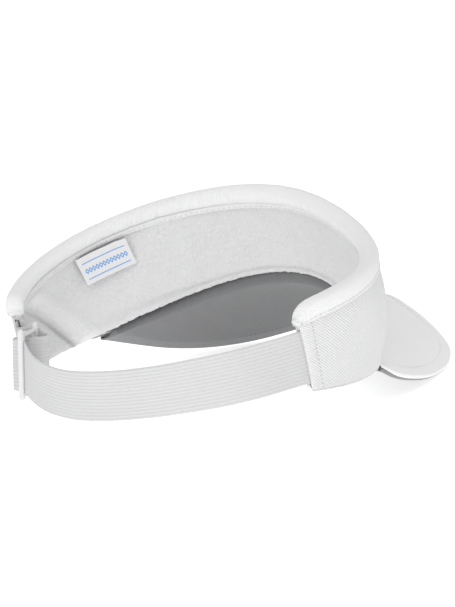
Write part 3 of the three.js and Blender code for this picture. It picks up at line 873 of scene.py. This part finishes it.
def brim_base(v, s):
    """The board's middle surface: v runs along the free edge and s from the seam out to it."""
    v, s = np.broadcast_arrays(np.asarray(v, float), np.asarray(s, float))
    a = np.radians(lerp(SEAM_ENDS[0], SEAM_ENDS[1], np.clip(v, 0, 1)))
    seam = band_base(a, 0 * a) + band_normal(a, 0 * a) * -3.5 + np.array([0, 0, -BRIM_DROP])
    at = np.clip(v, 0, 1) * (len(BRIM_EDGE) - 1)
    edge = np.stack([np.interp(at, np.arange(len(BRIM_EDGE)), BRIM_EDGE[:, k]) for k in range(3)], axis=-1)
    return lerp(seam, edge, s[..., None])


def brim_point(v, s, n):
    """A point n millimetres up from the board's middle surface."""
    step = 0.01
    across = brim_base(v + step, s) - brim_base(v - step, s)
    forward = brim_base(v, s + step) - brim_base(v, s - step)
    return brim_base(v, s) + unit(np.cross(forward, across)) * np.asarray(n)[..., None]


def brim_depth(v):
    """How far it is from the seam to the free edge."""
    return np.linalg.norm(brim_base(v, 1) - brim_base(v, 0), axis=1)


def cover_rows(v, path, ripple, wrap):
    """One side of a cover, with its ripples and the dip along its stitches. Without wrap it stops
    just short of the seam; with wrap it turns up there."""
    near_edge = 3
    depth = brim_depth(v)[:, None]
    vv = np.repeat(v[:, None], len(path), axis=1)
    inwards = path[None, :, 0]
    # Past the first 3 mm the path's distances stretch to each place's own depth.
    stretched = near_edge + (inwards - near_edge) / (BRIM_REACH - near_edge) * (depth - near_edge)
    d = np.where(inwards < near_edge, inwards, stretched)
    n = np.tile(path[:, 1], (len(v), 1))
    if wrap:
        # Where it turns up at the inner end it is lower towards the two corners.
        turned_up = (n > -1.0) & (inwards > BRIM_REACH - near_edge)
        corner = smoothstep(np.minimum(vv, 1 - vv), 0, 0.05)
        n = np.where(turned_up, -1.0 + (n + 1.0) * corner, n)
    else:
        d = np.minimum(d, depth - 1.2)
    s = 1 - d / depth
    x = vv * BRIM_EDGE_LENGTH
    wander = (np.sin(x * 0.05 + d * 0.04) * np.sin(d * 0.09 + x * 0.02 + 1)
              + 0.4 * np.sin(x * 0.13 - d * 0.1))
    n = n + ripple * smoothstep(d, 3, 14) * smoothstep(s, 0.02, 0.2) * wander
    n = n - np.sign(ripple) * 0.13 * np.exp(-((d - BRIM_STITCH_IN) / 0.7) ** 2)
    return brim_point(vv, s, n), np.stack([x, d], axis=-1)


def brim_cover(name, path_front, path_back, material, replaced, ripple, wrap=False):
    """A cover of the brim, from paths of (distance in from the free edge, height off the board's middle)."""
    corner = 0.02
    v = np.concatenate([np.linspace(0, corner, 6)[:-1], np.linspace(corner, 1 - corner, 150),
                        np.linspace(1 - corner, 1, 6)[1:]])
    front, uv = cover_rows(v, path_front, ripple, wrap)
    back, _ = cover_rows(v, path_back, ripple, wrap)
    return finish_piece(solid(name, front, back, uv), "visor", replaced, material, smooth=60)


def cover_path(radius, degrees, steps, flat, up=1):
    """A cover's path, from this far round the rim to its flat, over or under the board."""
    turn = np.radians(np.linspace(degrees, 0, steps))
    rim = [(COVER_OUT - radius * math.sin(t), up * radius * math.cos(t)) for t in turn]
    return rim + [(d, up * radius) for d in flat]


def turn_up(across, up):
    """The quarter turn at the inner end, and the stretch that stands up from it."""
    start = BRIM_REACH - 1.4
    quarter = np.radians(np.linspace(0, 90, 8))
    turn = [(start + across * math.sin(t), 0.25 - up * math.cos(t)) for t in quarter]
    return turn + [(start + across, n) for n in np.linspace(0.3, 3.6, 8)]


def brim():
    """White cover, grey cover and the row of stitches that shows on both."""
    flat = np.linspace(3, BRIM_REACH, 46)
    top, top_back = (np.array(cover_path(radius, 82, 12, flat)) for radius in (COVER_OUT, COVER_IN))
    obj = brim_cover("brim_cover", top, top_back, brim_twill, ["brim_top_cover"], 0.22)
    # The grey cover turns up round the board's inner end.
    flat = flat[flat < BRIM_REACH - 2.4]
    under = np.array(cover_path(COVER_OUT, 97, 8, flat, up=-1) + turn_up(2.0, 2.0))
    under_back = np.array(cover_path(COVER_IN, 97, 8, flat, up=-1) + turn_up(1.4, 1.3))
    obj = brim_cover("brim_underside", under, under_back, under_twill, ["brim_under_cover"],
                     -0.12, wrap=True)
    v = np.linspace(0.03, 0.97, 400)
    s = 1 - BRIM_STITCH_IN / np.maximum(brim_depth(v), 20)
    for name, n, material, replaced in (("brim_stitch_top", 1.70, thread_white, ["brim_edge_thread"]),
                                        ("brim_stitch_under", -1.70, thread_grey, None)):
        p = brim_point(v, s, n)
        q = brim_point(v, s, n + np.sign(n))
        dashes(name, p, unit(q - p), replaced, material)


brim()


# ---- slider
SLIDER_MIDDLE = np.array([-68.95, -62.85])
ALONG = unit(np.array([-4.7, 17.9]))
OUT = np.array([-ALONG[1], ALONG[0]])
SLIDER_BOTTOM = 5.2
SLIDER_HEIGHT = 34.3
SLIDER_LENGTH = 21.3
BAR = 2.8


def beside_slider(along, out, z):
    """A point by its place along the strap and out from it, from the slider's middle, and its height."""
    xy = SLIDER_MIDDLE + along * ALONG + out * OUT
    return np.array([xy[0], xy[1], z])


def tube(path, half_side, half_out):
    """A bar of rounded-square section along a path of (along, out, z) places, with rounded ends."""
    sections, squareness = 16, 0.7
    n = len(path)
    tangent = unit(np.gradient(path, axis=0))
    travelled = arc_length(path)
    points, uv = [], []
    for i in range(n):
        way_out = np.array([0.0, 1.0, 0.0]) if abs(tangent[i][1]) < 0.8 else np.array([0.0, 0.0, 1.0])
        side = unit(np.cross(tangent[i], way_out))
        outward_way = unit(np.cross(side, tangent[i]))
        reach = min(travelled[i], travelled[-1] - travelled[i]) / (half_side * 0.9)
        size = math.sqrt(max(0.12, 1 - max(0.0, 1 - reach) ** 2))
        for j in range(sections):
            a = 2 * math.pi * j / sections
            c, s = math.cos(a), math.sin(a)
            x = size * half_side * math.copysign(abs(c) ** squareness, c)
            y = size * half_out * math.copysign(abs(s) ** squareness, s)
            points.append(path[i] + side * x + outward_way * y)
            uv.append((travelled[i], j))
    world = np.array([beside_slider(*q) for q in points])
    return world, outward(world, rod_faces(0, n, sections)), uv


def straight(a, b, n=40):
    """Points from a to b, closer together at both ends."""
    t = 0.5 - 0.5 * np.cos(np.linspace(0, math.pi, n))[:, None]
    return lerp(np.array(a, float), np.array(b, float), t)


def slider():
    """The three-bar slider: two outer bars, two rails and a middle bar that arches out from the rails."""
    middle, half = SLIDER_BOTTOM + SLIDER_HEIGHT / 2, SLIDER_HEIGHT / 2
    bar_at = SLIDER_LENGTH / 2 - BAR / 2
    # The bars' rounded ends stand past the rails, by more at the top.
    rail, foot_rail, rise = half - 3.6, half - 1.9, 2.5
    parts = []
    for along, out, thick in ((-bar_at, -0.7, 1.35), (bar_at, 0, 1.25)):
        parts.append(tube(straight((along, out, -half + 0.1), (along, out, half - 0.1)), BAR / 2, thick))
    for z in (-foot_rail, rail):
        parts.append(tube(straight((-bar_at, 0, z), (bar_at, 0, z)), 0.85, 1.0))
    arch = ((-0.3, 0), (0.9, 0.05), (2.0, 0.5), (rise, 1.9))
    bridge = resample([(0, out, up - foot_rail) for out, up in arch] + [(0, rise, -5), (0, rise, 5)]
                      + [(0, out, rail - up) for out, up in reversed(arch)], 60)
    parts.append(tube(bridge, BAR / 2, 1.0))
    points, faces, uv = [], [], []
    for w, f, t in parts:
        base = len(points)
        w = w + np.array([0, 0, middle])
        points.extend(w.tolist())
        uv.extend(t)
        faces.extend([tuple(base + i for i in face) for face in f])
    finish_piece(raw_mesh("slider_buckle", points, faces, uv), "slider", ["strap_slider"],
                 plastic)


slider()


# ---- elastic strap
# How deep in the band the strap's two ends are sewn.
ANCHOR = -1.6


def strap_route():
    """Lower and upper edge of the strap: sewn into the right end, free, woven through the slider and
    sewn into the left end. With them goes the number of the place in the slider's first slot."""
    right = [(band_point(u, 0.07, ANCHOR), band_point(u, 0.72, ANCHOR)) for u in (0.035, 0.016, 0.0)]
    free = [
        ((66, -69.5, 21.9), (66.5, -70.6, 46.8)),
        ((52.9, -79.2, 18.3), (54.4, -81.7, 43.2)),
        ((23.7, -85.7, 11.5), (25.4, -91.2, 35.9)),
        ((-4.4, -82.8, 5.6), (-4.8, -89.6, 29.7)),
        ((-27, -79.2, 2.3), (-28.8, -85, 26.6)),
        ((-37.3, -77.6, 2.0), (-39.3, -82, 26.5)),
        ((-47.4, -75.4, 2.6), (-49.2, -78.4, 27.3)),
        ((-57, -72.6, 4.6), (-58.2, -74, 29.4)),
    ]
    low = SLIDER_BOTTOM + BAR + 0.25
    # (along, out, rise)
    weave = [(-9.3, -2.8, 0), (-5.6, -0.6, 0), (-3.8, 3, 0), (-2.4, 6, 0), (0, 7, 0), (2.4, 6, 0),
             (3.8, 3, 0), (4.6, -0.6, 0), (6, -4.6, 0), (8.6, -6.3, 0.3), (11.4, -5, 0.8),
             (12.8, -1.6, 1.8), (13.2, 2.6, 3.4)]
    woven = [(beside_slider(a, o, low + z), beside_slider(a, o, low + z + STRAP_WIDTH)) for a, o, z in weave]
    entry = [((-79, -50.1, 12.6), (-79, -59.2, 37))]
    left = [(band_point(u, 0.05, ANCHOR), band_point(u, 0.72, ANCHOR)) for u in (1.0, 0.984, 0.965)]
    to_slot = len(right) + len(free) + 1
    return [np.array([a, b]) for a, b in right + free + woven + entry + left], to_slot


def strap():
    """The ribbed elastic, in two pieces that meet inside the slider."""
    route, to_slot = strap_route()
    steps, across = 14, 91
    low = curve([r[0] for r in route], steps)
    high = curve([r[1] for r in route], steps)
    middle = (low + high) / 2
    along = arc_length(middle)
    side = unit(np.cross(unit(np.gradient(middle, axis=0)), unit(high - low)))
    w = np.linspace(0, 1, across)
    rib = 0.5 - 0.5 * np.cos(2 * math.pi * STRAP_RIBS * w)
    rounded_edge = np.sqrt(np.clip(1 - (np.abs(w - 0.5) / 0.5) ** 26, 0.02, 1))
    half = (0.50 + 0.13 * rib) * rounded_edge
    # Elastic puckers a little across its length where it is slack.
    slack = 0.10 * np.sin(along[:, None] * 1.9 + 3 * w[None]) * np.sin(along[:, None] * 0.21 + 1.1)
    spine = low[:, None] + (high - low)[:, None] * w[None, :, None]
    front = spine + side[:, None] * (half[None] + 0.35 * slack)[..., None]
    back = spine - side[:, None] * (half[None] - 0.35 * slack)[..., None]
    uv = np.stack(np.broadcast_arrays(along[:, None], w[None] * STRAP_WIDTH), axis=-1)
    # It is cut in two, out of sight in the slider's first slot.
    cut = to_slot * steps
    pieces = (("strap_long_part", slice(0, cut + 1)), ("strap_short_part", slice(cut, None)))
    made = []
    for name, part in pieces:
        mesh = solid(name, front[part], back[part], uv[part])
        obj = finish_piece(mesh, None, ["elastic_strap"], elastic, smooth=60)
        made.append(obj)
    long_part, short_part = made

    def place(*point):
        return tuple((np.array(point) + STANDING_PLACE) * MM)

    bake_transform(long_part)
    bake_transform(short_part)


strap()


# ---- label
def label():
    """The small tag, which hangs from under the binding and stands a little off the lining."""
    back_end, front_end, top = 181.5, 162, 9.7
    half_thick = 0.2

    def reach(angle, down, clear=0.0):
        k = 1 - down / 56
        a = np.radians(angle)
        return band_base(a, k) + band_normal(a, np.array(k)) * (-6.0 - clear)

    tops = [reach(back_end, top), reach(front_end, top)]
    halfway = (back_end + front_end) / 2
    foot = reach(halfway, top + 14.6, 2.0)
    middle = (tops[0] + tops[1]) / 2
    along = unit(tops[1] - tops[0])
    down = foot - middle
    down = unit(down - along * np.dot(down, along))
    # It hangs a little askew.
    down = unit(down + along * 0.16)
    facing = unit(np.cross(along, down))
    to_head = -band_normal(np.radians(halfway), np.array(0.7))
    facing = facing * np.sign(np.dot(facing, to_head))
    w, h = TAG_WIDTH, TAG_HEIGHT
    xx, yy = np.meshgrid(np.linspace(0, w, 43), np.linspace(0, h, 25), indexing="ij")
    bow = 0.25 * np.sin(xx * 0.5) * (yy / h) ** 2 - 0.9 * (1 - ((xx - w / 2) / (w / 2)) ** 2)
    curl = 0.9 * (yy / h) ** 2 * np.exp(-((xx - w) / 5) ** 2)
    plane = middle + along * (xx - w / 2)[..., None] + down * (h - yy - 0.6)[..., None]
    lift = 0.55 + bow * 0.6 + curl
    front = plane + facing * (lift + half_thick)[..., None]
    back = plane + facing * (lift - half_thick)[..., None]
    uv = np.stack([xx, yy], axis=-1)
    obj = finish_piece(solid("tag", front, back, uv), "visor", ["woven_label"], label_cloth)


label()
